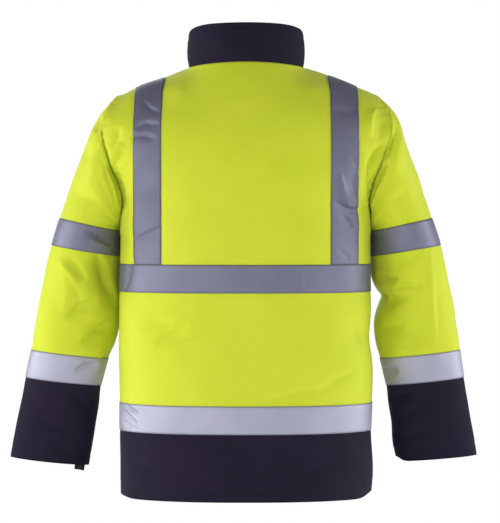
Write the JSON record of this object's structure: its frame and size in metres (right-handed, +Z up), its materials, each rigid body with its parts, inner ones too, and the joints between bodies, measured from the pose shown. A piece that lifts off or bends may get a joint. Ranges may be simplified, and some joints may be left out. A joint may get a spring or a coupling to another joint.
{
  "type": "hi-vis work jacket",
  "caption": "Long-sleeved high-visibility work jacket with a stand collar, front zip, navy lower panels and silver reflective tapes, filled out as it is worn.",
  "frame": {"origin": "centre of the neck opening, at the height of the neck points where collar and shoulder seams meet", "axes": "+Z up, front faces -Y, the wearer's left is +X"},
  "size_m": [0.8474, 0.3064, 0.8453],
  "materials": {
    "yellow_cloth": "fluorescent yellow coated polyester weave, slight sheen",
    "navy_cloth": "dark navy coated polyester weave",
    "reflective_tape": "silver glass-bead reflective tape on cloth",
    "zip_tape": "woven zip tape with moulded teeth",
    "zip_metal": "grey metal slider and pull tab",
    "black_strap": "black hook-and-loop strap end"
  },
  "bodies": {
    "garment": {"back": "yellow_cloth", "front_left": "yellow_cloth", "front_right": "yellow_cloth", "sleeve_left": "yellow_cloth", "sleeve_right": "yellow_cloth", "hem_back": "navy_cloth", "hem_front_left": "navy_cloth", "hem_front_right": "navy_cloth", "cuff_left": "navy_cloth", "cuff_right": "navy_cloth", "collar": "navy_cloth", "chest_tape_back": "reflective_tape", "chest_tape_front_left": "reflective_tape", "chest_tape_front_right": "reflective_tape", "waist_tape_back": "reflective_tape", "waist_tape_front_left": "reflective_tape", "waist_tape_front_right": "reflective_tape", "shoulder_tape_left": "reflective_tape", "shoulder_tape_right": "reflective_tape", "arm_tape_left": "reflective_tape", "arm_tape_right": "reflective_tape", "wrist_tape_left": "reflective_tape", "wrist_tape_right": "reflective_tape", "zip_left": "zip_tape", "zip_right": "zip_tape", "zip_slider": "zip_metal", "cuff_strap_left": "black_strap"},
    "pull": {"zip_pull": "zip_metal"}
  },
  "joints": [
    {"name": "pull_swing", "type": "hinge", "parent": "garment", "child": "pull", "pos_m": [0, -0.10085, 0.004], "axis": [-1, 0, 0], "range_deg": [0, 165]}
  ]
}
